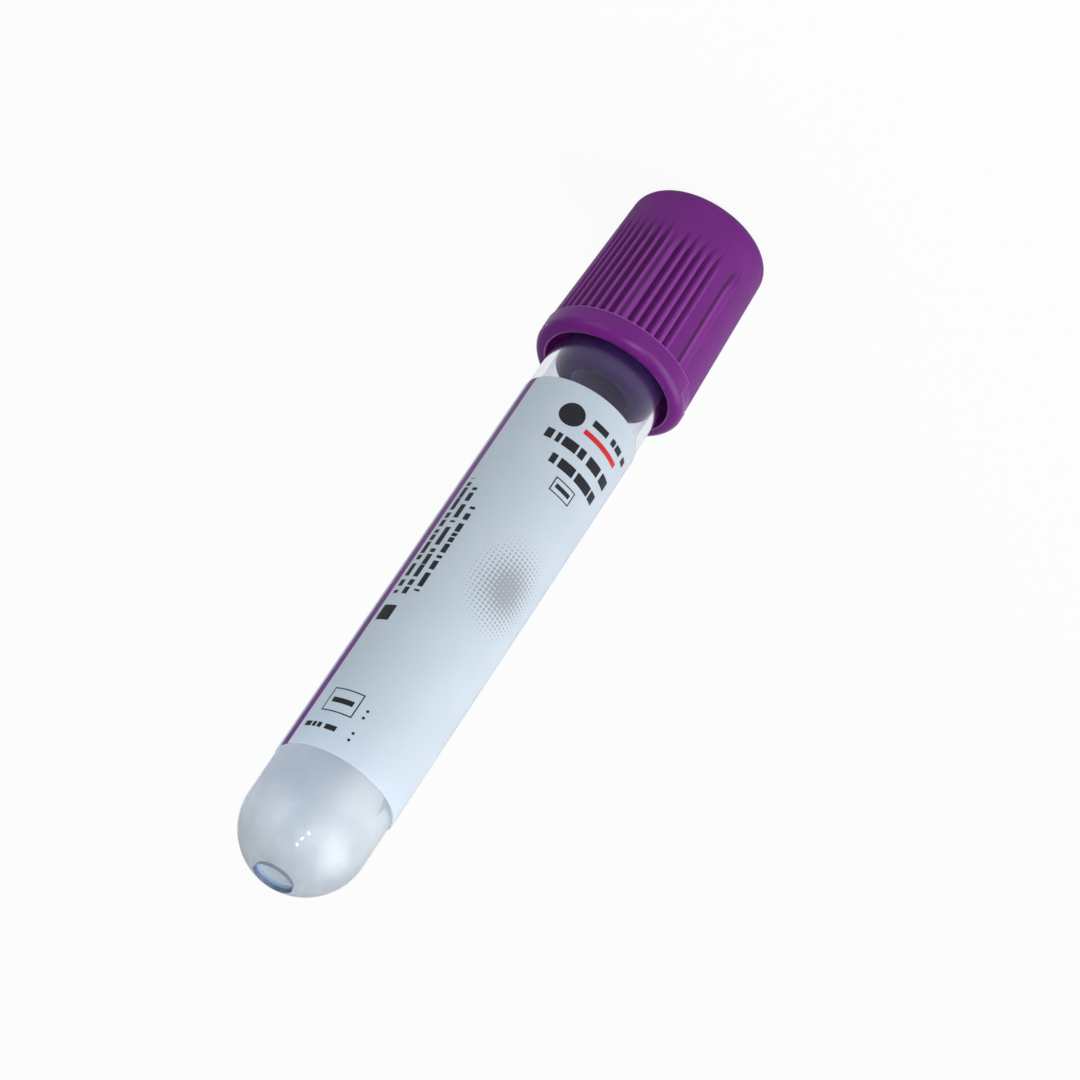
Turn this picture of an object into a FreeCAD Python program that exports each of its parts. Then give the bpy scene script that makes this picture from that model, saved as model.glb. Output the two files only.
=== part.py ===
"""Blood collection tube: a clear round-bottomed tube with a wrapped label and a push-on closure.

Every piece is modelled on its own +Z axis, with the pole of the tube's round end at the origin
and the closure at the top.  A tube with a round end rolls when it lies down, so the placement
that all of the pieces share turns the row over to stand on the flat crown of its closure, with
the round end up and the flutes' front to the row's -Y.
"""

import FreeCAD, Part
import Sketcher
import math
import os

# Driving dimensions, in millimetres and degrees.
SIZES = {
    # tube: one clear moulding
    "tube_length": 75.0,
    "tube_radius": 6.4,
    "tube_wall": 1.0,  # at the mouth; the core is drafted, so it grows towards the round end
    "tube_draft": 0.15,  # how much narrower the bore is where its round end starts
    "tube_base": 1.9,  # thickness at the pole
    "gate_radius": 2.0,  # round recess that the injection gate leaves at the pole
    "gate_depth": 1.15,
    "gate_round": 0.15,
    "neck_length": 10.5,  # lead-in taper under the closure
    "neck_taper": 0.1,
    "mouth_round": 0.25,
    # label: one film, wrapped all round, its end stuck down over its start
    "label_start": 11.5,
    "label_length": 48.0,
    "label_film": 0.1,
    "label_overlap": 40.0,
    "label_seam": 129.0,
    # cap: fluted outer shell of the closure
    "cap_height": 20.7,
    "cap_overlap": 10.0,  # how far the cap reaches down over the tube
    "skirt_gap": 0.55,
    "skirt_wall": 1.31,
    "skirt_draft": 0.1,
    "flange_height": 2.5,
    "flange_lip": 0.14,
    "flange_round": 1.1,
    "rim_round": 0.25,
    "crown_wall": 0.74,
    "crown_plate": 1.2,
    "crown_round": 1.3,
    "port_radius": 4.2,
    "port_round": 0.3,
    "bead_height": 0.4,
    "bead_gap": 0.2,
    # flutes: grooves of one depth that follow the flaring wall and ramp out below the crown
    "flute_straight": 10.6,
    "flute_ramp": 2.9,
    "flute_pitch": 7.5,
    "flute_floor": 0.2,
    "flute_width": 0.72,
    "flute_depth": 0.45,
    "long_run": 7.0,
    "short_run": 5.0,
    "wide_flute_at": 57.0,
    "wide_flute_floor": 1.0,
    "wide_flute_width": 1.55,
    "shallow_floor": 0.3,
    "shallow_width": 1.3,
    "shallow_depth": 0.16,
    "notch_at": 92.7,
    "notch_angle": 37.0,
    "notch_drop": 1.1,
    "notch_slope": 0.8,
    "front_at": 17.25,  # the side of the closure that is the row's front
    # stopper: rubber, pressed up into the cap
    "plug_depth": 11.8,
    "plug_gap": 0.05,
    "plug_round": 1.5,
    "seat_gap": 0.05,
    "head_bite": 0.03,
    "head_round": 0.3,
    "well_radius": 3.6,
    "well_depth": 2.4,
    "hollow_radius": 3.2,
    "hollow_draft": 0.5,
    "hollow_depth": 9.4,
}

CUT_ROOM = 1.0  # how far a cutting profile runs past the wall it cuts
RAMP_ROOM = 0.02  # how far outside the wall a flute's ramp ends
SIDES = (0.0, 180.0)  # the cap is the same again after half a turn

# Derived sizes, as expressions over the sheet.
BORE = "(sizes.tube_radius - sizes.tube_wall)"
BORE_END = f"({BORE} - sizes.tube_draft)"
BORE_CENTRE = f"(sizes.tube_base + {BORE_END})"
RIM = "(sizes.tube_length - sizes.cap_overlap)"
LEDGE = f"({RIM} + sizes.flange_height)"
CROWN = f"({RIM} + sizes.cap_height)"
CEILING = f"({CROWN} - sizes.crown_plate)"
SKIRT_BORE = "(sizes.tube_radius + sizes.skirt_gap)"
HEAD_BORE = f"({SKIRT_BORE} - sizes.skirt_draft)"
BODY_LEDGE = f"({SKIRT_BORE} + sizes.skirt_wall)"
BODY_CROWN = f"({HEAD_BORE} + sizes.crown_wall)"
FLANGE = f"({BODY_LEDGE} + sizes.flange_lip)"
FLARE = f"(({BODY_LEDGE} - {BODY_CROWN}) / (sizes.cap_height - sizes.flange_height))"
RAMP = f"({LEDGE} + sizes.flute_straight)"
RAMP_END = f"({RAMP} + sizes.flute_ramp)"
BEAD_TOP = "sizes.tube_length"
PLUG = f"({BORE} - sizes.plug_gap)"
PLUG_END = "(sizes.tube_length - sizes.plug_depth)"
SEAT = "(sizes.tube_length + sizes.seat_gap)"


def make_sheet(doc):
    """The sheet of driving dimensions, one row each, with its name as the alias."""
    sheet = doc.addObject("Spreadsheet::Sheet", "sizes")
    for row, (name, value) in enumerate(SIZES.items(), start=1):
        sheet.set(f"A{row}", name)
        sheet.set(f"B{row}", str(value))
        sheet.setAlias(f"B{row}", name)
    doc.recompute()
    return sheet


def number(expression):
    """The value of an expression over the sheet, to start a sketch near its solution."""
    return sheet.evalExpression(str(expression).replace("sizes.", ""))


def new_body(name):
    body = doc.addObject("PartDesign::Body", f"{name}_body")
    body.Label = name
    return body


def plane(body, role):
    return next(f for f in body.Origin.OriginFeatures if f.Role == role)


def new_sketch(body, name, role, height="0", turn="0"):
    """A sketch on one of the body's own planes, raised by height and turned about +Z."""
    sketch = body.newObject("Sketcher::SketchObject", name)
    sketch.AttachmentSupport = [(plane(body, role), "")]
    sketch.MapMode = "FlatFace"
    # +Z is the normal of the level plane, and the sketch's own y on the upright one
    upward = FreeCAD.Vector(0, 0, 1) if role == "XY_Plane" else FreeCAD.Vector(0, 1, 0)
    sketch.AttachmentOffset = FreeCAD.Placement(FreeCAD.Vector(), FreeCAD.Rotation(upward, number(turn)))
    sketch.setExpression("AttachmentOffset.Base.z", height)
    sketch.setExpression("AttachmentOffset.Rotation.Angle", turn)
    return sketch


def pin(sketch, geometry, vertex, axis, expression):
    """Ties one coordinate of a sketch point to an expression."""
    if str(expression) == "0":
        line = -2 if axis == "X" else -1
        sketch.addConstraint(Sketcher.Constraint("PointOnObject", geometry, vertex, line))
        return
    kind = f"Distance{axis}"
    value = number(expression)
    place = sketch.addConstraint(Sketcher.Constraint(kind, -1, 1, geometry, vertex, value))
    sketch.setExpression(f"Constraints[{place}]", expression)


def draw_outline(sketch, corners, arcs=()):
    """A closed outline through the corners, each an (x, y) pair of expressions.

    arcs names the sides, by the number of the corner they start at, that are arcs about a
    centre on the sketch's y axis, with the centre's height."""
    points = [FreeCAD.Vector(number(x), number(y), 0) for x, y in corners]
    centres = dict(arcs)
    count = len(points)
    for i, start in enumerate(points):
        end = points[(i + 1) % count]
        if i not in centres:
            sketch.addGeometry(Part.LineSegment(start, end))
            continue
        centre = FreeCAD.Vector(0, number(centres[i]), 0)
        first = math.atan2(start.y - centre.y, start.x - centre.x)
        last = math.atan2(end.y - centre.y, end.x - centre.x)
        circle = Part.Circle(centre, FreeCAD.Vector(0, 0, 1), start.distanceToPoint(centre))
        sketch.addGeometry(Part.ArcOfCircle(circle, min(first, last), max(first, last)))

    def end_of(i, which):
        """An arc always runs anticlockwise, so its ends may be the other way about."""
        if i not in centres:
            return which
        centre_y = number(centres[i])
        first = math.atan2(points[i].y - centre_y, points[i].x)
        last = math.atan2(points[(i + 1) % count].y - centre_y, points[(i + 1) % count].x)
        return which if first < last else 3 - which

    for i in range(count):
        before = (i - 1) % count
        ends = (before, end_of(before, 2), i, end_of(i, 1))
        sketch.addConstraint(Sketcher.Constraint("Coincident", *ends))
    for i, (x, y) in enumerate(corners):
        pin(sketch, i, end_of(i, 1), "X", x)
        pin(sketch, i, end_of(i, 1), "Y", y)
    for i in centres:
        sketch.addConstraint(Sketcher.Constraint("PointOnObject", i, 3, -2))


def revolve(body, name, corners, arcs=(), angle="360", turn="0", kind="Revolution"):
    """A profile in radius and height, spun about the body's +Z."""
    sketch = new_sketch(body, f"{name}_profile", "XZ_Plane", turn=turn)
    draw_outline(sketch, corners, arcs)
    feature = body.newObject(f"PartDesign::{kind}", name)
    feature.Profile = sketch
    feature.ReferenceAxis = (sketch, ["V_Axis"])
    feature.setExpression("Angle", angle)
    feature.Midplane = angle != "360"
    doc.recompute()
    return feature


def pocket(body, name, sketch, depth):
    """Cuts a sketch's outline up along +Z, and checks that it took something away."""
    before = body.Shape.Volume
    feature = body.newObject("PartDesign::Pocket", name)
    feature.Profile = sketch
    feature.Reversed = True
    feature.setExpression("Length", depth)
    doc.recompute()
    if not body.Shape.Volume < before:
        raise RuntimeError(f"{name} cuts nothing")
    return feature


def loft_cut(body, name, sketches):
    """Cuts the straight-sided solid between outlines at rising heights."""
    before = body.Shape.Volume
    feature = body.newObject("PartDesign::SubtractiveLoft", name)
    feature.Profile = sketches[0]
    feature.Sections = sketches[1:]
    feature.Ruled = True
    doc.recompute()
    if not body.Shape.Volume < before:
        raise RuntimeError(f"{name} cuts nothing")
    return feature


def polar_pattern(body, name, original, step, count):
    feature = body.newObject("PartDesign::PolarPattern", name)
    feature.Originals = [original]
    feature.Axis = (plane(body, "Z_Axis"), [""])
    feature.setExpression("Angle", f"{step} * ({count} - 1)")
    feature.setExpression("Occurrences", count)
    body.Tip = feature
    doc.recompute()
    return feature


def round_edges(body, name, base, circles, size):
    """Fillets the circular edges that lie at the given (radius, height) pairs."""
    wanted = [(number(r), number(z)) for r, z in circles]
    picked = []
    for i, edge in enumerate(base.Shape.Edges, start=1):
        if edge.Degenerated or not isinstance(edge.Curve, Part.Circle):
            continue
        ring = (edge.Curve.Radius, edge.Curve.Center.z)
        if any(abs(ring[0] - r) < 1e-4 and abs(ring[1] - z) < 1e-4 for r, z in wanted):
            picked.append(f"Edge{i}")
    if not picked:
        raise RuntimeError(f"{name} finds no edge")
    feature = body.newObject("PartDesign::Fillet", name)
    feature.Base = (base, picked)
    feature.setExpression("Radius", size)
    doc.recompute()
    return feature


def make_tube():
    """The clear tube: straight outside, drafted bore, round end with a gate recess."""
    body = new_body("tube")
    neck = "(sizes.tube_length - sizes.neck_length)"
    mouth = "(sizes.tube_radius - sizes.neck_taper)"
    corners = [
        ("0", "0"),
        ("sizes.tube_radius", "sizes.tube_radius"),
        ("sizes.tube_radius", neck),
        (mouth, "sizes.tube_length"),
        (BORE, "sizes.tube_length"),
        (BORE_END, BORE_CENTRE),
        ("0", "sizes.tube_base"),
    ]
    shell = revolve(body, "shell", corners, {0: "sizes.tube_radius", 5: BORE_CENTRE})
    edges = [(mouth, "sizes.tube_length"), (BORE, "sizes.tube_length")]
    round_edges(body, "mouth", shell, edges, "sizes.mouth_round")
    sketch = new_sketch(body, "gate_circle", "XY_Plane")
    sketch.addGeometry(Part.Circle(FreeCAD.Vector(), FreeCAD.Vector(0, 0, 1), number("sizes.gate_radius")))
    sketch.addConstraint(Sketcher.Constraint("Coincident", 0, 3, -1, 1))
    place = sketch.addConstraint(Sketcher.Constraint("Radius", 0, number("sizes.gate_radius")))
    sketch.setExpression(f"Constraints[{place}]", "sizes.gate_radius")
    gate = pocket(body, "gate", sketch, "sizes.gate_depth")
    reach = "sqrt(sizes.tube_radius * sizes.tube_radius - sizes.gate_radius * sizes.gate_radius)"
    edges = [("sizes.gate_radius", "sizes.gate_depth"), ("sizes.gate_radius", f"(sizes.tube_radius - {reach})")]
    round_edges(body, "gate_edges", gate, edges, "sizes.gate_round")
    return body


def make_label():
    """The film: one turn round the tube, and the end that overlaps its start."""
    body = new_body("label")
    inner = "sizes.tube_radius"
    outer = f"({inner} + sizes.label_film)"
    flap = f"({outer} + sizes.label_film)"
    top = "(sizes.label_start + sizes.label_length)"
    low = "sizes.label_start"
    revolve(body, "wrap", [(inner, low), (outer, low), (outer, top), (inner, top)])
    corners = [(outer, low), (flap, low), (flap, top), (outer, top)]
    revolve(body, "overlap", corners, angle="sizes.label_overlap", turn="sizes.label_seam")
    return body


def cut_flutes(body, name, start, count, kind="flute", depth="sizes.flute_depth"):
    """One run of flutes. Each is a flat-floored V of one depth that follows the flaring wall,
    then ramps out through it below the crown. kind names its row of sizes."""
    half_floor = f"(sizes.{kind}_floor / 2)"
    slope = f"((sizes.{kind}_width - sizes.{kind}_floor) / 2 / {depth})"
    half_mouth = f"({half_floor} + {slope} * ({depth} + {CUT_ROOM}))"
    sketches = []
    stations = [(LEDGE, f"-{depth}"), (RAMP, f"-{depth}"), (RAMP_END, str(RAMP_ROOM))]
    for place, (height, offset) in enumerate(stations, start=1):
        floor = f"({BODY_LEDGE} - {FLARE} * ({height} - {LEDGE}) + {offset})"
        mouth = f"({floor} + {depth} + {CUT_ROOM})"
        sketch = new_sketch(body, f"{name}_section_{place}", "XY_Plane", height, start)
        corners = [
            (floor, f"-{half_floor}"),
            (mouth, f"-{half_mouth}"),
            (mouth, half_mouth),
            (floor, half_floor),
        ]
        draw_outline(sketch, corners)
        sketches.append(sketch)
    cut = loft_cut(body, name, sketches)
    if number(count) > 1:
        cut = polar_pattern(body, f"{name}_run", cut, "sizes.flute_pitch", count)
    return cut


def make_cap():
    """The fluted cap: flared wall, flange with a thumb notch each side, crown with a port."""
    body = new_body("cap")
    bead = f"({HEAD_BORE} - sizes.bead_gap)"
    bead_low = f"({BEAD_TOP} - 2 * sizes.bead_height)"
    corners = [
        (SKIRT_BORE, RIM),
        (FLANGE, RIM),
        (FLANGE, LEDGE),
        (BODY_LEDGE, LEDGE),
        (BODY_CROWN, CROWN),
        ("sizes.port_radius", CROWN),
        ("sizes.port_radius", CEILING),
        (HEAD_BORE, CEILING),
        (HEAD_BORE, BEAD_TOP),
        (bead, f"({BEAD_TOP} - sizes.bead_height)"),
        (HEAD_BORE, bead_low),
    ]
    shell = revolve(body, "shell", corners)
    last = round_edges(body, "flange_edge", shell, [(FLANGE, RIM)], "sizes.flange_round")
    last = round_edges(body, "crown_edge", last, [(BODY_CROWN, CROWN)], "sizes.crown_round")
    last = round_edges(body, "rim_edge", last, [(SKIRT_BORE, RIM)], "sizes.rim_round")
    round_edges(body, "port_edge", last, [("sizes.port_radius", CROWN)], "sizes.port_round")
    for side, turn in enumerate(SIDES, start=1):
        long_start = f"{turn} - sizes.flute_pitch * sizes.long_run"
        cut_flutes(body, f"long_flute_{side}", long_start, "sizes.long_run")
        short_start = f"{turn} + sizes.flute_pitch"
        cut_flutes(body, f"short_flute_{side}", short_start, "sizes.short_run")
        cut_flutes(body, f"shallow_flute_{side}", f"{turn}", "1", "shallow", "sizes.shallow_depth")
        wide_at = f"{turn} + sizes.wide_flute_at"
        cut_flutes(body, f"wide_flute_{side}", wide_at, "1", "wide_flute")
        notch_low = f"({LEDGE} - sizes.notch_drop)"
        notch_foot = f"({notch_low} - sizes.notch_slope)"
        corners = [
            (BODY_LEDGE, notch_low),
            (FLANGE, notch_foot),
            (f"({FLANGE} + {CUT_ROOM})", notch_foot),
            (f"({FLANGE} + {CUT_ROOM})", LEDGE),
            (BODY_LEDGE, LEDGE),
        ]
        at = f"{turn} + sizes.notch_at"
        before = body.Shape.Volume
        revolve(body, f"notch_{side}", corners, angle="sizes.notch_angle", turn=at, kind="Groove")
        if not body.Shape.Volume < before:
            raise RuntimeError("the notch cuts nothing")
    return body


def make_stopper():
    """The rubber stopper: a head held in the cap over the tube's mouth, and a plug below it
    that seals the bore, hollowed from below and dished on top so that a needle passes."""
    body = new_body("stopper")
    head = f"({HEAD_BORE} + sizes.head_bite)"
    hollow_top = f"({PLUG_END} + sizes.hollow_depth)"
    well = f"({CEILING} - sizes.well_depth)"
    corners = [
        ("0", hollow_top),
        ("(sizes.hollow_radius - sizes.hollow_draft)", hollow_top),
        ("sizes.hollow_radius", PLUG_END),
        (PLUG, PLUG_END),
        (PLUG, SEAT),
        (head, SEAT),
        (head, CEILING),
        ("sizes.well_radius", CEILING),
        ("sizes.well_radius", well),
        ("0", well),
    ]
    shell = revolve(body, "shape", corners)
    last = round_edges(body, "plug_edge", shell, [(PLUG, PLUG_END)], "sizes.plug_round")
    edges = [(head, SEAT), (head, CEILING), ("sizes.well_radius", CEILING)]
    round_edges(body, "head_edges", last, edges, "sizes.head_round")
    return body


def stand_on_crown(bodies):
    """Turns every piece over about one level line, so that the closure's crown is on the floor.

    Half a turn about a line that lies midway between the front of the pieces and the row's -Y
    brings the one round to the other."""
    line = math.radians((number("sizes.front_at") - 90) / 2)
    over = FreeCAD.Rotation(FreeCAD.Vector(math.cos(line), math.sin(line), 0), 180)
    placement = FreeCAD.Placement(FreeCAD.Vector(0, 0, number(CROWN)), over)
    for body in bodies:
        body.Placement = placement
    doc.recompute()


def check_and_write(bodies):
    """Stops on any failed object or bad shape, then writes one STEP file for each piece."""
    for item in doc.Objects:
        if "Invalid" in item.State or "Error" in item.State:
            raise RuntimeError(f"{item.Name} failed: {item.State}")
    for body in bodies:
        if body.Shape.isNull() or not body.Shape.isValid():
            raise RuntimeError(f"{body.Label} has a bad shape")
    os.makedirs("parts", exist_ok=True)
    for body in bodies:
        body.Shape.exportStep(f"parts/{body.Label}.step")
        print(body.Label, round(body.Shape.Volume, 2), "mm3,", len(body.Shape.Faces), "faces")


doc = FreeCAD.newDocument("blood_collection_tube")
sheet = make_sheet(doc)
pieces = [make_tube(), make_label(), make_cap(), make_stopper()]
stand_on_crown(pieces)
check_and_write(pieces)
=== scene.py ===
from math import atan2, degrees, hypot, pi, radians

import bmesh
import bpy
from mathutils import Matrix, Vector


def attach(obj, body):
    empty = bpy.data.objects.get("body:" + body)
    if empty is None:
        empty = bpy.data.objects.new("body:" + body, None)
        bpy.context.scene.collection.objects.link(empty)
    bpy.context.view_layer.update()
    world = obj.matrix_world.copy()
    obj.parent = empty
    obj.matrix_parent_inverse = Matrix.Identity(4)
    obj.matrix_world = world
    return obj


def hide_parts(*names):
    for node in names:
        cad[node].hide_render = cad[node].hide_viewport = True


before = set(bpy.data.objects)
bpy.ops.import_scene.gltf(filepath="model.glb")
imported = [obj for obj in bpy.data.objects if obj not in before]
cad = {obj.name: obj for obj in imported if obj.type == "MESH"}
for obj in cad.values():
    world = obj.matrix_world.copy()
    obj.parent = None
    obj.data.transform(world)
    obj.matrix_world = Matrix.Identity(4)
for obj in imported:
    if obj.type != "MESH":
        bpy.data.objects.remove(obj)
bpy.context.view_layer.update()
scene = bpy.context.scene

# Stopper.
# A butyl rubber plug that seals the tube's mouth, moulded in one piece with a hollow below and
# a dish on top for the needle. It is pressed up into the cap before the cap goes on.

MM = 0.001
HOLLOW_R, HOLLOW_FROM = 3.25, 13.0  # just past the wall and the floor of the plug's hollow


def new_finish(name):
    """A material, its node tree and the Principled shader in it."""
    finish = bpy.data.materials.new(name)
    finish.use_nodes = True
    return finish, finish.node_tree, finish.node_tree.nodes["Principled BSDF"]


def put(tree, kind, settings=None, **inputs):
    """A node with its settings, and each input given a value or another node's output."""
    added = tree.nodes.new("ShaderNode" + kind)
    for setting, value in (settings or {}).items():
        setattr(added, setting, value)
    for name, value in inputs.items():
        key = int(name[1:]) if name[0] == "_" and name[1:].isdigit() else name.replace("_", " ")
        socket = added.inputs[key]
        if isinstance(value, bpy.types.NodeSocket):
            tree.links.new(value, socket)
        else:
            socket.default_value = value
    return added


def math_node(tree, operation, *values):
    """The result of a Math node on the values."""
    numbered = {f"_{i}": value for i, value in enumerate(values)}
    return put(tree, "Math", {"operation": operation}, **numbered).outputs[0]


def product(tree, first, *others):
    """The product of several values."""
    for other in others:
        first = math_node(tree, "MULTIPLY", first, other)
    return first


def gap_between(tree, first, second):
    """The distance between two places."""
    return put(tree, "VectorMath", {"operation": "DISTANCE"}, _0=first, _1=second).outputs["Value"]


def fade(tree, value, start, end, at_start=0.0, at_end=1.0):
    """A soft change from one number to another as the value goes from start to end."""
    return put(tree, "MapRange", {"interpolation_type": "SMOOTHSTEP"}, Value=value,
               From_Min=start, From_Max=end, To_Min=at_start, To_Max=at_end).outputs[0]


def mixed(tree, share, first, second):
    """A colour that goes from the first to the second as the share goes from 0 to 1."""
    return put(tree, "MixRGB", Fac=share, Color1=first, Color2=second).outputs[0]


def source(shader, name):
    """The output that feeds one of a shader's sockets."""
    return shader.inputs[name].links[0].from_socket


def object_place(tree):
    """The place on the object, its parts along the axes, and its distance from +Z."""
    place = put(tree, "TexCoord").outputs["Object"]
    parts = put(tree, "SeparateXYZ", Vector=place).outputs
    flat = put(tree, "CombineXYZ", X=parts[0], Y=parts[1]).outputs[0]
    radius = put(tree, "VectorMath", {"operation": "LENGTH"}, _0=flat).outputs["Value"]
    return place, parts, radius


def new_group(name, takes, gives):
    """A node group with named number, colour or vector sockets, and its two end nodes."""
    group = bpy.data.node_groups.new(name, "ShaderNodeTree")
    for direction, sockets in (("INPUT", takes), ("OUTPUT", gives)):
        for socket, kind in sockets.items():
            group.interface.new_socket(socket, in_out=direction, socket_type="NodeSocket" + kind)
    start = group.nodes.new("NodeGroupInput").outputs
    end = group.nodes.new("NodeGroupOutput").inputs
    return group, start, end


def place_group(tree, group, **inputs):
    """The outputs of a node group that is placed in a tree."""
    return put(tree, "Group", {"node_tree": group}, **inputs).outputs


# Moulded surface: cloudy colour, a satin that varies, and a very fine grain in the surface.
moulded, given, result = new_group(
    "moulded_surface",
    {"Place": "Vector", "Cloud Size": "Float", "Grain Size": "Float", "Grain Share": "Float",
     "Colour": "Color", "Cloud Colour": "Color", "Roughness": "Float", "Roughness Range": "Float"},
    {"Colour": "Color", "Roughness": "Float", "Height": "Float"},
)
cloud_scale = math_node(moulded, "DIVIDE", 1.0, given["Cloud Size"])
grain_scale = math_node(moulded, "DIVIDE", 1.0, given["Grain Size"])
cloud = put(moulded, "TexNoise", Vector=given["Place"], Scale=cloud_scale, Detail=3.0,
            Roughness=0.6).outputs["Fac"]
grain = put(moulded, "TexNoise", Vector=given["Place"], Scale=grain_scale, Detail=2.0,
            Roughness=0.5).outputs["Fac"]
tone = mixed(moulded, fade(moulded, cloud, 0.35, 0.68), given["Colour"], given["Cloud Colour"])
satin = math_node(moulded, "MULTIPLY_ADD", math_node(moulded, "SUBTRACT", cloud, 0.5),
                  given["Roughness Range"], given["Roughness"])
relief = math_node(moulded, "MULTIPLY_ADD", grain, given["Grain Share"], cloud)
for made, name in ((tone, "Colour"), (satin, "Roughness"), (relief, "Height")):
    moulded.links.new(made, result[name])


def mould(name, colour, cloud_colour, roughness, grain_height, cloud_size=0.004,
          grain_size=0.00025, grain_share=0.4, roughness_range=0.25):
    """A moulded plastic or rubber: the moulded surface in a Principled shader."""
    finish, tree, shader = new_finish(name)
    place = put(tree, "TexCoord").outputs["Object"]
    surface = place_group(tree, moulded, Place=place, Cloud_Size=cloud_size, Grain_Size=grain_size,
                          Grain_Share=grain_share, Colour=(*colour, 1),
                          Cloud_Colour=(*cloud_colour, 1), Roughness=roughness,
                          Roughness_Range=roughness_range)
    bump = put(tree, "Bump", Height=surface["Height"], Distance=grain_height, Strength=1.0)
    tree.links.new(surface["Colour"], shader.inputs["Base Color"])
    tree.links.new(surface["Roughness"], shader.inputs["Roughness"])
    tree.links.new(bump.outputs[0], shader.inputs["Normal"])
    return finish, tree, shader


stopper_rubber, tree, shader = mould("stopper_rubber", (0.020, 0.005, 0.044), (0.026, 0.008, 0.054),
                                     0.55, 0.0000004, roughness_range=0.1)
shader.inputs["IOR"].default_value = 1.5
shader.inputs["Specular IOR Level"].default_value = 0.12
# The hollow is painted paler than the rest of the rubber, to offset the shade inside it.
place, parts, radius = object_place(tree)
hollow = product(tree, math_node(tree, "LESS_THAN", radius, HOLLOW_R * MM),
                 math_node(tree, "GREATER_THAN", parts[2], HOLLOW_FROM * MM))
rubber = mixed(tree, hollow, source(shader, "Base Color"), (0.09, 0.06, 0.14, 1))
tree.links.new(rubber, shader.inputs["Base Color"])
cad["stopper"].data.materials.clear()
cad["stopper"].data.materials.append(stopper_rubber)

# Cap.
# The outer shell of the closure, injection moulded in purple polyethylene: a flaring wall with
# finger flutes that ramp out below the crown, a rounded flange, and a thumb notch on each side.

CAP_STEPS = 720
WALL_AT_LEDGE, WALL_AT_CROWN, LEDGE, FLANGE, RIM = 8.26, 7.59, 18.2, 8.395, 20.7
SKIRT_BORE, HEAD_BORE, PORT_R, PLATE = 6.95, 6.85, 4.2, 1.2
BEAD_R, BEAD_LOW, BEAD_PEAK, BEAD_HIGH = 6.65, 10.7, 11.1, 11.5
RIM_ROUND, FLANGE_ROUND, LEDGE_ROUND = 0.25, 1.1, 0.07
CROWN_ROUND, PORT_ROUND, BEAD_ROUND = 1.3, 0.3, 0.1
FLUTE_FRONT = -72.75  # bearing of the shallow flute at the front, in degrees about +Z
FLUTE_END, FLUTE_RAMP = 4.7, 2.9  # where the flutes run out, and over what length
PITCH, FIRST, LAST, WIDE_AT = 7.5, -7, 5, 57.0  # bearings of the flutes from the front one
# Floor and mouth widths, and depth, of each kind of flute.
FLUTE, SHALLOW_FLUTE, WIDE_FLUTE = (0.2, 0.74, 0.46), (0.3, 1.3, 0.16), (1.0, 1.55, 0.45)
NOTCH_AT, NOTCH_HALF, NOTCH_END = 92.7, 19.1, 1.2  # bearing, half width and run-out, in degrees
NOTCH_LIP, NOTCH_FLOOR, NOTCH_SLOPE = 0.14, 19.3, 0.8


def half_section(corners, rounds):
    """A closed wire through (radius, height) corners in millimetres, some of them rounded off."""
    drawn = bmesh.new()
    points = [drawn.verts.new((radius, 0, height)) for radius, height in corners]
    for first, second in zip(points, points[1:] + points[:1]):
        drawn.edges.new((first, second))
    for corner, (radius, segments) in rounds.items():
        bmesh.ops.bevel(drawn, geom=[points[corner]], offset=radius, offset_type="OFFSET",
                        affect="VERTICES", segments=segments, profile=0.5, material=-1)
    return drawn


def divide(drawn, low, high, cuts):
    """Cuts the one edge of a half-section between two corners into equal lengths."""
    wanted = sorted((low, high), key=lambda end: end[1])
    for edge in drawn.edges:
        ends = sorted(((v.co.x, v.co.z) for v in edge.verts), key=lambda end: end[1])
        if all(hypot(a[0] - b[0], a[1] - b[1]) < 0.01 for a, b in zip(ends, wanted)):
            bmesh.ops.subdivide_edges(drawn, edges=[edge], cuts=cuts)
            return
    raise ValueError("no such edge")


def spin(drawn, steps, angle=2 * pi):
    """Turns a half-section into a closed skin about +Z."""
    bmesh.ops.spin(drawn, geom=drawn.verts[:] + drawn.edges[:], cent=(0, 0, 0), axis=(0, 0, 1),
                   dvec=(0, 0, 0), angle=angle, steps=steps, use_merge=angle == 2 * pi,
                   use_normal_flip=False, use_duplicate=False)
    bmesh.ops.remove_doubles(drawn, verts=drawn.verts, dist=0.0005)
    bmesh.ops.recalc_face_normals(drawn, faces=drawn.faces)
    return drawn


def finished_piece(name, drawn, finish, body, replaced, sharp=40):
    """The drawn mesh, taken to metres, as a piece that stands for a CAD node."""
    bmesh.ops.recalc_face_normals(drawn, faces=drawn.faces)
    bmesh.ops.scale(drawn, vec=(MM, MM, MM), verts=drawn.verts)
    shape = bpy.data.meshes.new(name)
    drawn.to_mesh(shape)
    drawn.free()
    shape.shade_smooth()
    shape.set_sharp_from_angle(angle=radians(sharp))
    shape.materials.append(finish)
    piece = bpy.data.objects.new(name, shape)
    scene.collection.objects.link(piece)
    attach(piece, body)
    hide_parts(replaced)
    return piece


def ease(value):
    """0 below 0, 1 above 1, and a soft step between."""
    value = min(1.0, max(0.0, value))
    return value * value * (3 - 2 * value)


def soft_limit(value, limit, blend):
    """The lower of two numbers, with a rounded change over blend."""
    near = max(0.0, 1 - abs(value - limit) / blend)
    return min(value, limit) - near * near * blend / 4


def degrees_apart(first, second):
    """How far apart two bearings are."""
    return abs((first - second + 180) % 360 - 180)


# The same flutes and notch again after half a turn.
flutes = []
for half in (0, 180):
    flutes += [(half + PITCH * n, *FLUTE) for n in range(FIRST, LAST + 1) if n != 0]
    flutes += [(half, *SHALLOW_FLUTE), (half + WIDE_AT, *WIDE_FLUTE)]
notches = (NOTCH_AT, NOTCH_AT + 180)


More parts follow.
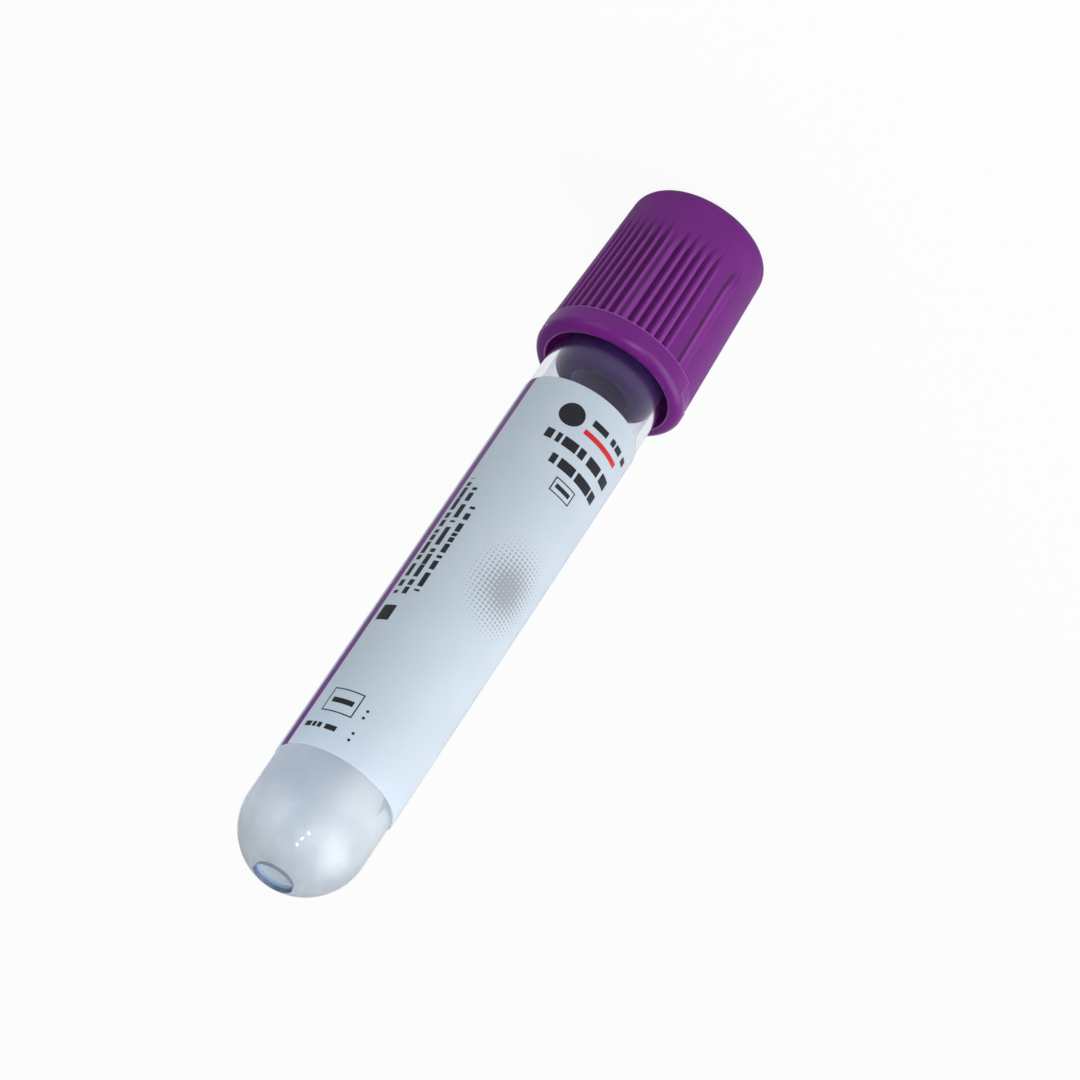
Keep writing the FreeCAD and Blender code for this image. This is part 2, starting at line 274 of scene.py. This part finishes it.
def flute_depth(bearing, radius, height):
    """How deep the flutes cut the wall there. A flute keeps one depth, then ramps out."""
    ramp = (height - FLUTE_END) / FLUTE_RAMP
    deepest = 0.0
    for centre, floor, mouth, depth in flutes:
        across = radians(degrees_apart(bearing, centre)) * radius
        if across < mouth:
            here = depth * min(1.0, ramp)
            slope = (mouth - floor) / 2 / depth
            cut = soft_limit(here - (across - floor / 2) / slope, here, depth * 0.5)
            deepest = max(deepest, -soft_limit(-cut, 0.0, depth * 0.5))
    return deepest


skin = half_section(
    [(SKIRT_BORE, RIM), (FLANGE, RIM), (FLANGE, LEDGE), (WALL_AT_LEDGE, LEDGE), (WALL_AT_CROWN, 0),
     (PORT_R, 0), (PORT_R, PLATE), (HEAD_BORE, PLATE), (HEAD_BORE, BEAD_LOW), (BEAD_R, BEAD_PEAK),
     (HEAD_BORE, BEAD_HIGH)],
    {0: (RIM_ROUND, 4), 1: (FLANGE_ROUND, 12), 2: (LEDGE_ROUND, 3), 4: (CROWN_ROUND, 10),
     5: (PORT_ROUND, 3), 9: (BEAD_ROUND, 2)},
)
wall_slope = (WALL_AT_LEDGE - WALL_AT_CROWN) / LEDGE
crown_edge = (WALL_AT_CROWN + CROWN_ROUND * wall_slope, CROWN_ROUND)
divide(skin, (WALL_AT_LEDGE, LEDGE), crown_edge, 44)
divide(skin, (FLANGE, LEDGE + LEDGE_ROUND), (FLANGE, RIM - FLANGE_ROUND), 9)
spin(skin, CAP_STEPS)
for point in skin.verts:
    x, y, height = point.co
    radius = hypot(x, y)
    bearing = FLUTE_FRONT - degrees(atan2(y, x))
    wall = WALL_AT_CROWN + wall_slope * height
    moved = radius
    if abs(radius - wall) < 0.004 and 4.0 < height < LEDGE + 0.01:
        moved = radius - max(0.0, flute_depth(bearing, radius, height))
    elif height > LEDGE - 0.01 and radius > WALL_AT_LEDGE + 0.001:
        off_centre = min(degrees_apart(bearing, centre) for centre in notches)
        inside = ease((NOTCH_HALF - off_centre) / NOTCH_END)
        notch = WALL_AT_LEDGE + NOTCH_LIP * ease((height - NOTCH_FLOOR) / NOTCH_SLOPE)
        moved = radius + (min(radius, notch) - radius) * inside
    point.co.x *= moved / radius
    point.co.y *= moved / radius
bmesh.ops.remove_doubles(skin, verts=skin.verts, dist=0.002)

HIGHLIGHT_PURPLE = (0.42, 0.16, 0.46, 1)
purple_plastic, tree, shader = mould("purple_plastic", (0.13, 0.005, 0.165), (0.155, 0.007, 0.19),
                                     0.52, 0.00002, cloud_size=0.005, grain_size=0.0002,
                                     grain_share=0.35)
shader.inputs["IOR"].default_value = 1.5
shader.inputs["Specular IOR Level"].default_value = 0.32
pigment = source(shader, "Base Color")
place, parts, radius = object_place(tree)
height = parts[2]
# Painted shade darkens one flank and the floor of each flute, and a painted highlight makes the
# crests between paler.
wall_there = math_node(tree, "MULTIPLY_ADD", height, wall_slope, WALL_AT_CROWN * MM)
sunk = fade(tree, math_node(tree, "SUBTRACT", wall_there, radius), 0.00002, 0.00018)
turn = math_node(tree, "ARCTAN2", parts[1], parts[0])
bearing = math_node(tree, "MULTIPLY_ADD", turn, -180 / pi, FLUTE_FRONT)
side = math_node(tree, "WRAP", bearing, 90.0, -90.0)
among = math_node(tree, "COMPARE", side, (FIRST + LAST) / 2 * PITCH, (LAST - FIRST + 1) / 2 * PITCH)
fluted = math_node(tree, "COMPARE", height, 0.0112, 0.0071)
full_depth = fade(tree, height, 0.0052, 0.0082)


def band(offset, centre, inner, outer):
    """1 within inner degrees of a centre, fading to 0 at outer."""
    away = math_node(tree, "ABSOLUTE", math_node(tree, "SUBTRACT", offset, centre))
    return fade(tree, away, inner, outer, 1.0, 0.0)


def in_pitch(shift):
    """How many degrees off the middle of its own pitch a place is, with the pitches shifted."""
    return math_node(tree, "WRAP", math_node(tree, "ADD", side, shift), PITCH / 2, -PITCH / 2)


painted_shade_flank = math_node(tree, "MAXIMUM", product(tree, band(in_pitch(1.0), 0.0, 0.8, 2.3), among),
                       band(side, 54.8, 2.0, 3.2))
# Painted highlight on the crests between the flutes.
crest_highlight = math_node(tree, "MAXIMUM", product(tree, band(in_pitch(-3.15), 0.0, 0.7, 2.7), among),
                  band(side, 60.2, 2.3, 3.2))
pigment = mixed(tree, product(tree, crest_highlight, fluted, full_depth), pigment, (0.235, 0.030, 0.28, 1))
pigment = mixed(tree, product(tree, sunk, fluted, painted_shade_flank), pigment, (0.062, 0.001, 0.073, 1))
# The two corners where the mould parts are a little pale.
# A painted highlight runs along two corners: the flange's top edge and the rim of the opening.
line = put(tree, "CombineXYZ", X=radius, Y=height).outputs[0]
for corner, reach in (((FLANGE - 0.02, LEDGE + 0.02), 0.11), ((7.03, RIM - 0.02), 0.14)):
    gap = gap_between(tree, line, (corner[0] * MM, corner[1] * MM, 0))
    edge_highlight = put(tree, "MapRange", Value=gap, From_Min=reach * MM * 0.4, From_Max=reach * MM,
               To_Min=0.75, To_Max=0.0).outputs[0]
    pigment = mixed(tree, edge_highlight, pigment, HIGHLIGHT_PURPLE)
# A painted highlight also runs down the two ends of the thumb notch, on the flange's outer wall.
step = math_node(tree, "MAXIMUM", band(side, 74.0, 0.3, 1.3), band(side, -68.6, 0.3, 1.3))
step = product(tree, step, 0.45, math_node(tree, "COMPARE", height, 0.0190, 0.0008))
pigment = mixed(tree, step, pigment, HIGHLIGHT_PURPLE)
# Pale specks: dust, and painted glints.
dust_and_glints = put(tree, "TexVoronoi", Vector=place, Scale=260.0).outputs["Distance"]
pigment = mixed(tree, math_node(tree, "LESS_THAN", dust_and_glints, 0.03), pigment, (0.6, 0.5, 0.62, 1))
tree.links.new(pigment, shader.inputs["Base Color"])
# The flange comes from a polished part of the mould.
polish = put(tree, "MapRange", Value=height, From_Min=(LEDGE - 0.1) * MM,
             From_Max=(LEDGE + 0.3) * MM, To_Min=1.0, To_Max=0.62).outputs[0]
tree.links.new(product(tree, source(shader, "Roughness"), polish), shader.inputs["Roughness"])
finished_piece("cap_shell", skin, purple_plastic, "closure", "cap")

# Tube.
# One clear moulding in PET, straight outside, with a round end and a bore drafted so that the
# core pulls out. The gate leaves a shallow round recess at the pole of the round end.

TUBE_STEPS, END_STEPS, BORE_STEPS = 192, 30, 34
END_CENTRE, TUBE_R, BORE_CENTRE, BORE_R = 79.3, 6.4, 78.55, 5.25
GATE_R, GATE_FLOOR, GATE_RIM, GATE_ROUND = 2.0, 84.55, 85.3795, 0.2175
END_TURN = 71.79  # degrees of the round end, from the gate's rim to the straight wall
MOUTH, MOUTH_R, MOUTH_BORE, MOUTH_ROUND = 10.7, 6.3, 5.4, 0.25
TAPER_END = 21.2  # where the lead-in taper meets the straight wall
HAZE_FROM, BORE_AT_HAZE = 64.0, 5.28  # the haze starts under the label
UNROLLED_R, POLE = 6.5, 85.7  # the radius that the wall is unrolled at, and the round end's pole


def curve(drawn, start, centre_height, angle, steps):
    """Draws an arc of a half-section from a point, about a centre on the axis."""
    made = bmesh.ops.spin(drawn, geom=[start], cent=(0, 0, centre_height), axis=(0, 1, 0),
                          dvec=(0, 0, 0), angle=radians(angle), steps=steps, use_merge=False,
                          use_normal_flip=False, use_duplicate=False)
    return made["geom_last"][0]


def run_to(drawn, start, radius, height):
    """Draws a straight line of a half-section from a point."""
    end = drawn.verts.new((radius, 0, height))
    drawn.edges.new((start, end))
    return end


wall = bmesh.new()
pole = wall.verts.new((0, 0, GATE_FLOOR))
corner = run_to(wall, pole, GATE_R, GATE_FLOOR)
edge = run_to(wall, corner, GATE_R, GATE_RIM)
line = curve(wall, edge, END_CENTRE, END_TURN, END_STEPS)
line = run_to(wall, line, TUBE_R, HAZE_FROM)
line = run_to(wall, line, TUBE_R, TAPER_END)
mouth_outer = run_to(wall, line, MOUTH_R, MOUTH)
mouth_inner = run_to(wall, mouth_outer, MOUTH_BORE, MOUTH)
line = run_to(wall, mouth_inner, BORE_AT_HAZE, HAZE_FROM)
line = run_to(wall, line, BORE_R, BORE_CENTRE)
curve(wall, line, BORE_CENTRE, -90, BORE_STEPS)
for corners, offset in (([corner, edge], GATE_ROUND), ([mouth_outer, mouth_inner], MOUTH_ROUND)):
    bmesh.ops.bevel(wall, geom=corners, offset=offset, offset_type="OFFSET", affect="VERTICES",
                    segments=4, profile=0.5, material=-1)
spin(wall, TUBE_STEPS)


def let_light_through(tree, shader, tint):
    """Lets shadow rays straight through a thin wall, which isn't dark like a solid glass."""
    through = put(tree, "BsdfTransparent", Color=(*tint, 1))
    shadow = put(tree, "LightPath").outputs["Is Shadow Ray"]
    both = put(tree, "MixShader", _0=shadow, _1=shader.outputs[0], _2=through.outputs[0])
    tree.links.new(both.outputs[0], tree.nodes["Material Output"].inputs["Surface"])


# Millimetres across and along the wall as if it were unrolled, from the front and the round end.
unrolled, given, result = new_group("unrolled_wall", {"Place": "Vector"},
                                    {"Across": "Float", "Along": "Float"})
parts = put(unrolled, "SeparateXYZ", Vector=given["Place"]).outputs
turned = math_node(unrolled, "ARCTAN2", product(unrolled, parts[0], -1.0),
                   product(unrolled, parts[1], -1.0))
unrolled.links.new(product(unrolled, turned, UNROLLED_R), result["Across"])
unrolled.links.new(math_node(unrolled, "MULTIPLY_ADD", parts[2], -1 / MM, POLE), result["Along"])

clear_plastic, tree, shader = mould("clear_plastic", (0.82, 0.86, 0.91), (0.86, 0.89, 0.93), 0.04,
                                    0.000002, cloud_size=0.006, grain_size=0.0015,
                                    roughness_range=0.05)
shader.inputs["Transmission Weight"].default_value = 1.0
shader.inputs["IOR"].default_value = 1.33
let_light_through(tree, shader, (0.93, 0.96, 0.98))

# The additive is sprayed into the bore and dries at the round end, which it makes milky.
hazy_plastic, tree, shader = mould("hazy_plastic", (0.605, 0.65, 0.695), (0.755, 0.79, 0.825), 0.45,
                                   0.000002, cloud_size=0.005, grain_size=0.0012,
                                   roughness_range=0.2)
# The thick middle of the round end, round the gate, stays clear.
place, parts, radius = object_place(tree)
clearing = fade(tree, radius, 0.0025, 0.0034, 0.4, 1.0)
at_tip = math_node(tree, "GREATER_THAN", parts[2], 0.0841)
share = math_node(tree, "MULTIPLY_ADD", at_tip, math_node(tree, "SUBTRACT", clearing, 1.0), 1.0)
tree.links.new(product(tree, source(shader, "Roughness"), share), shader.inputs["Roughness"])
# Painted light: the milky part is painted paler on its -X side, towards the lamps at the right, and
# darker on its +X side.
painted_light_side = fade(tree, parts[0], 0.0010, -0.0024)
milk_and_painted_shading = mixed(tree, painted_light_side, (0.56, 0.605, 0.68, 1), (0.83, 0.865, 0.885, 1))
milk_and_painted_shading = mixed(tree, fade(tree, parts[2], 0.0765, 0.0805, 0.7, 0.0), source(shader, "Base Color"), milk_and_painted_shading)
# Painted shadow beside the label's edge: a wedge, and a narrow band along the edge.
sheet = place_group(tree, unrolled, Place=place)
down = math_node(tree, "SUBTRACT", 11.5, sheet["Along"])
past_left = math_node(tree, "SUBTRACT", sheet["Across"],
                      math_node(tree, "MULTIPLY_ADD", down, 0.23, 4.95))
past_right = math_node(tree, "SUBTRACT", math_node(tree, "MULTIPLY_ADD", down, -0.36, 6.35),
                       sheet["Across"])
wedge = fade(tree, math_node(tree, "MINIMUM", past_left, past_right), 0.0, 0.25)
edge_band = product(tree, fade(tree, down, 0.45, 0.75, 1.0, 0.0),
                    fade(tree, past_left, 4.0, 6.5, 1.0, 0.0),
                    math_node(tree, "GREATER_THAN", past_left, 0.1))
painted_edge_shadow = product(tree, math_node(tree, "MAXIMUM", wedge, edge_band), 0.7)
milk_and_painted_shading = mixed(tree, painted_edge_shadow, milk_and_painted_shading, (0.40, 0.47, 0.58, 1))
# The gate's floor has most plastic behind it, so it is the bluest.
gate_floor = product(tree, at_tip, math_node(tree, "LESS_THAN", radius, 0.0019), 0.75)
milk_and_painted_shading = mixed(tree, gate_floor, milk_and_painted_shading, (0.76, 0.88, 1.0, 1))
tree.links.new(milk_and_painted_shading, shader.inputs["Base Color"])
shader.inputs["Transmission Weight"].default_value = 0.7
shader.inputs["IOR"].default_value = 1.5
shader.inputs["Specular IOR Level"].default_value = 0.3
shader.inputs["Coat Weight"].default_value = 0.45
shader.inputs["Coat Roughness"].default_value = 0.065
let_light_through(tree, shader, (0.85, 0.89, 0.94))

# The rim of the gate's recess is dull, with painted shade: dark blue-grey, painted lighter towards
# the floor, and painted darker still where it is seen through the plastic from behind.
gate_wall_shade, tree, shader = mould("gate_wall_shade", (0.09, 0.12, 0.20), (0.17, 0.21, 0.31), 0.6, 0.00002,
                                cloud_size=0.0008, grain_size=0.0002)
place = put(tree, "TexCoord").outputs["Object"]
height = put(tree, "SeparateXYZ", Vector=place).outputs[2]
below_rim = fade(tree, height, (GATE_FLOOR + 0.25) * MM, (GATE_FLOOR + 0.45) * MM, 1.0, 0.0)
recess_shade = mixed(tree, below_rim, source(shader, "Base Color"), (0.31, 0.42, 0.62, 1))
behind = put(tree, "NewGeometry").outputs["Backfacing"]
tree.links.new(mixed(tree, behind, recess_shade, (0.020, 0.060, 0.160, 1)), shader.inputs["Base Color"])

for face in wall.faces:
    middle = face.calc_center_median()
    recess_wall = abs(hypot(middle.x, middle.y) - GATE_R) < 0.12 and middle.z > GATE_FLOOR + 0.05
    face.material_index = 2 if recess_wall else int(middle.z > HAZE_FROM)
tube_wall = finished_piece("tube_wall", wall, clear_plastic, "tube", "tube", sharp=50)
tube_wall.data.materials.append(hazy_plastic)
tube_wall.data.materials.append(gate_wall_shade)

# Label.
# A printed plastic film with adhesive on its back, wrapped once round the tube so that it wets
# the wall, with its end stuck down over its start. The print is plain bars, boxes and dots.

FILM_IN, FILM_OUT, FLAP_IN, FLAP_OUT, LABEL_TOP, LABEL_FOOT = 6.375, 6.5, 6.46, 6.6, 26.2, 74.2
FILM_STEPS, FLAP_STEPS, FLAP_FROM, FLAP_TURN = 240, 28, 138.25, 40
FLAP_INSET = 0.01  # how far the stuck-down end stays inside the film's edges


def film_section(inner, outer, low, high):
    """A half-section of film with its two outer edges eased."""
    return half_section([(inner, low), (outer, low), (outer, high), (inner, high)],
                        {1: (0.03, 2), 2: (0.03, 2)})


film = film_section(FILM_IN, FILM_OUT, LABEL_TOP, LABEL_FOOT)
spin(film, FILM_STEPS)
flap = film_section(FLAP_IN, FLAP_OUT, LABEL_TOP + FLAP_INSET, LABEL_FOOT - FLAP_INSET)
bmesh.ops.rotate(flap, verts=flap.verts, cent=(0, 0, 0),
                 matrix=Matrix.Rotation(radians(FLAP_FROM), 3, "Z"))
spin(flap, FLAP_STEPS, angle=radians(FLAP_TURN))
bmesh.ops.holes_fill(flap, edges=flap.edges, sides=0)
bmesh.ops.recalc_face_normals(flap, faces=flap.faces)
strip = bpy.data.meshes.new("strip")
flap.to_mesh(strip)
flap.free()
film.from_mesh(strip)
bpy.data.meshes.remove(strip)

numbers = ("Across", "Along", "Middle", "Half Width", "Height", "Half Height")
bar, given, result = new_group("ink_bar", dict.fromkeys(numbers, "Float"), {"Ink": "Float"})
bar.links.new(
    product(bar, math_node(bar, "COMPARE", given["Across"], given["Middle"], given["Half Width"]),
            math_node(bar, "COMPARE", given["Along"], given["Height"], given["Half Height"])),
    result["Ink"])

numbers = ("Across", "Along", "Middle", "Height", "Radius")
disc, given, result = new_group("ink_disc", dict.fromkeys(numbers, "Float"), {"Ink": "Float"})
spot = put(disc, "CombineXYZ", X=given["Across"], Y=given["Along"]).outputs[0]
hub = put(disc, "CombineXYZ", X=given["Middle"], Y=given["Height"]).outputs[0]
disc.links.new(math_node(disc, "LESS_THAN", gap_between(disc, spot, hub), given["Radius"]),
               result["Ink"])

# A row of bars and gaps of uneven length, in place of words.
numbers = ("Run", "Rise", "Start", "Length", "Height", "Half Height", "Pace")
words, given, result = new_group("ink_words", dict.fromkeys(numbers, "Float"), {"Ink": "Float"})
reach = product(words, given["Length"], 0.5)
middle = math_node(words, "ADD", given["Start"], reach)
key = math_node(words, "MULTIPLY_ADD", given["Height"], 7.3, given["Run"])
breaks = put(words, "TexNoise", {"noise_dimensions": "1D"}, W=key, Scale=given["Pace"],
             Detail=1.0).outputs["Fac"]
words.links.new(
    product(words, math_node(words, "COMPARE", given["Run"], middle, reach),
            math_node(words, "COMPARE", given["Rise"], given["Height"], given["Half Height"]),
            math_node(words, "LESS_THAN", breaks, 0.56)),
    result["Ink"])

label_film, tree, shader = new_finish("label_film")
place = put(tree, "TexCoord").outputs["Object"]
sheet = place_group(tree, unrolled, Place=place)
across, along = sheet["Across"], sheet["Along"]


def ink_bar(left, right, low, high):
    """A filled box."""
    return place_group(tree, bar, Across=across, Along=along, Middle=(left + right) / 2,
                       Half_Width=(right - left) / 2, Height=(low + high) / 2,
                       Half_Height=(high - low) / 2)[0]


def ink_disc(middle, height, radius):
    """A filled disc."""
    return place_group(tree, disc, Across=across, Along=along, Middle=middle, Height=height,
                       Radius=radius)[0]


def ink_row(left, right, middle, thick, pace=1.1):
    """A row of uneven bars that runs across the label."""
    return place_group(tree, words, Run=across, Rise=along, Start=left, Length=right - left,
                       Height=middle, Half_Height=thick / 2, Pace=pace)[0]


def ink_column(low, high, middle, thick, pace=1.4):
    """A row of uneven bars that runs along the label."""
    return place_group(tree, words, Run=along, Rise=across, Start=low, Length=high - low,
                       Height=middle, Half_Height=thick / 2, Pace=pace)[0]


def together(inks):
    """Where any of the inks is printed."""
    total = inks[0]
    for ink in inks[1:]:
        total = math_node(tree, "MAXIMUM", total, ink)
    return total


def box_line(left, right, low, high, line=0.14):
    """The outline of a box."""
    outer = ink_bar(left, right, low, high)
    inner = ink_bar(left + line, right - line, low + line, high - line)
    return math_node(tree, "SUBTRACT", outer, inner)


black = together([
    ink_disc(-0.9, 56.0, 1.35),
    ink_row(1.0, 7.6, 56.6, 0.75),
    ink_row(-2.2, 6.9, 53.0, 1.15, 0.8),
    ink_row(-0.4, 6.6, 50.7, 1.15, 0.8),
    box_line(1.2, 3.9, 47.6, 49.3),
    ink_bar(1.6, 3.5, 48.2, 48.7),
    ink_column(30.4, 45.6, -6.55, 0.62),
    ink_column(30.4, 44.4, -5.35, 0.62),
    ink_column(30.4, 42.0, -4.15, 0.62),
    ink_bar(-6.8, -5.1, 27.0, 28.9),
    box_line(-5.75, -2.25, 15.6, 18.4),
    ink_bar(-5.2, -2.8, 16.7, 17.3),
    ink_row(-6.7, -2.9, 13.9, 0.6, 1.6),
    ink_disc(-1.26, 17.0, 0.16),
    ink_disc(-1.26, 16.2, 0.16),
    ink_disc(-1.26, 14.3, 0.16),
    ink_disc(-1.26, 13.5, 0.16),
])
red = ink_bar(1.0, 6.2, 54.9, 55.5)
purple = ink_bar(-8.6, -7.35, 11.4, 59.6)

# A field of dots that fades from its middle, in grey.
CELL = 0.46
dot_place = put(tree, "CombineXYZ", X=math_node(tree, "PINGPONG", across, CELL),
                Y=math_node(tree, "PINGPONG", along, CELL)).outputs[0]
field = put(tree, "CombineXYZ", X=product(tree, across, 1.25), Y=along).outputs[0]
dot_size = put(tree, "MapRange", Value=gap_between(tree, field, (4.3, 36.2, 0)), From_Min=1.0,
               From_Max=6.6, To_Min=0.27, To_Max=0.0).outputs[0]
grey = math_node(tree, "LESS_THAN", gap_between(tree, dot_place, (CELL / 2, CELL / 2, 0)), dot_size)

cloud = put(tree, "TexNoise", Vector=place, Scale=220.0, Detail=3.0).outputs["Fac"]
grain = put(tree, "TexNoise", Vector=place, Scale=5200.0, Detail=2.0).outputs["Fac"]
colour = mixed(tree, cloud, (0.52, 0.595, 0.68, 1), (0.56, 0.63, 0.71, 1))
for ink, shade in ((grey, (0.34, 0.36, 0.39)), (black, (0.008, 0.010, 0.016)),
                   (red, (0.62, 0.012, 0.02)), (purple, (0.17, 0.026, 0.22))):
    colour = mixed(tree, ink, colour, (*shade, 1))
tree.links.new(colour, shader.inputs["Base Color"])
satin = put(tree, "MapRange", Value=cloud, To_Min=0.42, To_Max=0.58)
tree.links.new(satin.outputs[0], shader.inputs["Roughness"])
bump = put(tree, "Bump", Height=grain, Distance=0.00001, Strength=1.0)
tree.links.new(bump.outputs[0], shader.inputs["Normal"])
shader.inputs["Specular IOR Level"].default_value = 0.3


def let_glow(shader):
    """Makes a film glow with the light behind it, as it is thin."""
    shader.inputs["Subsurface Weight"].default_value = 1.0
    shader.inputs["Subsurface Radius"].default_value = (1.0, 1.0, 1.0)
    shader.inputs["Subsurface Scale"].default_value = 0.0004


let_glow(shader)
label_back, tree, shader = mould("label_back", (0.86, 0.90, 0.94), (0.92, 0.94, 0.96), 0.6, 0.000005)
let_glow(shader)
for face in film.faces:
    middle = face.calc_center_median()
    face.material_index = int(hypot(middle.x, middle.y) < FILM_IN + 0.02)
label_wrap = finished_piece("label_wrap", film, label_film, "tube", "label")
label_wrap.data.materials.append(label_back)

# Stage.
# A pale floor and a plain bright room, with two soft lamps at the right, a fainter one at the
# left, and three small ones in front that leave their spots on the round end.

floor_shape = bmesh.new()
bmesh.ops.create_grid(floor_shape, x_segments=1, y_segments=1, size=2)
floor_mesh = bpy.data.meshes.new("floor")
floor_shape.to_mesh(floor_mesh)
floor_shape.free()
floor = bpy.data.objects.new("floor", floor_mesh)
scene.collection.objects.link(floor)


def seen_rays(tree):
    """1 for rays from the camera, and for those that it sees through a clear piece."""
    rays = put(tree, "LightPath").outputs
    return math_node(tree, "MAXIMUM", rays["Is Camera Ray"], rays["Is Transmission Ray"])


floor_white, tree, shader = new_finish("floor_white")
shader.inputs["Base Color"].default_value = (0.88, 0.88, 0.88, 1)
shader.inputs["Roughness"].default_value = 1.0
shader.inputs["Specular IOR Level"].default_value = 0.0
shine = put(tree, "Emission", Strength=1.0)
share = product(tree, seen_rays(tree), 0.92)
both = put(tree, "MixShader", _0=share, _1=shader.outputs[0], _2=shine.outputs[0])
tree.links.new(both.outputs[0], tree.nodes["Material Output"].inputs["Surface"])
floor_mesh.materials.append(floor_white)

world = bpy.data.worlds.new("studio")
scene.world = world
world.use_nodes = True
tree = world.node_tree
room = tree.nodes["Background"]
room.inputs["Color"].default_value = (0.90, 0.96, 1, 1)
room.inputs["Strength"].default_value = 0.35
backdrop = put(tree, "Background", Color=(1, 1, 1, 1), Strength=1.0)
both = put(tree, "MixShader", _0=seen_rays(tree), _1=room.outputs[0], _2=backdrop.outputs[0])
tree.links.new(both.outputs[0], tree.nodes["World Output"].inputs["Surface"])


def lamp(name, place, aim, width, height, watts, tint=(1.0, 1.0, 1.0)):
    """A soft rectangular lamp that faces a point of the object."""
    light = bpy.data.lights.new(name, "AREA")
    light.shape = "RECTANGLE"
    light.size, light.size_y = width, height
    light.energy = watts
    light.color = tint
    stand = bpy.data.objects.new(name, light)
    way = Vector(aim) - Vector(place)
    turn = way.to_track_quat("-Z", "Y").to_matrix().to_4x4()
    stand.matrix_world = Matrix.Translation(place) @ turn
    scene.collection.objects.link(stand)


SPOT_WAYS = ((-0.15, -0.88, 0.45), (-0.07, -0.76, 0.64), (-0.04, -0.59, 0.80))
SPOT_REACH, ROUND_END = 1.1, Vector((0, 0, 0.08))
lamp("soft_right", (-1.53, -0.15, 0.72), (0, 0, 0.04), 1.8, 1.3, 17.8)
lamp("front_right", (-0.96, -1.06, 0.36), (0, 0, 0.06), 0.95, 0.65, 5.2)
lamp("side_left", (1.05, -0.8, 0.5), (0, 0, 0.04), 0.8, 0.8, 3.0, (0.84, 0.93, 1.0))
for number, way in enumerate(SPOT_WAYS):
    lamp(f"spot_{number}", Vector(way) * SPOT_REACH + ROUND_END, (0, 0, 0.06), 0.085, 0.085, 1.25)

# Camera.
# A long lens a little above the part, rolled so that the standing tube lies across the frame
# with its closure at the upper right.

FOCAL, FRAME, SENSOR = 4180.92, 1080, 36  # focal length and frame width in one unit, then mm
LOOK_DOWN, ROLL = 28.72431, -146.38206  # in degrees

lens = bpy.data.cameras.new("camera")
lens.sensor_width = SENSOR
lens.lens = FOCAL / FRAME * SENSOR
lens.clip_start, lens.clip_end = 0.01, 10
camera = bpy.data.objects.new("camera", lens)
camera.matrix_world = (
    Matrix.Translation((-0.00326327, -0.35930914, 0.23674989))
    @ Matrix.Rotation(radians(90 - LOOK_DOWN), 4, "X")
    @ Matrix.Rotation(radians(ROLL), 4, "Z")
)
scene.collection.objects.link(camera)
scene.camera = camera

scene.view_settings.view_transform = "Standard"
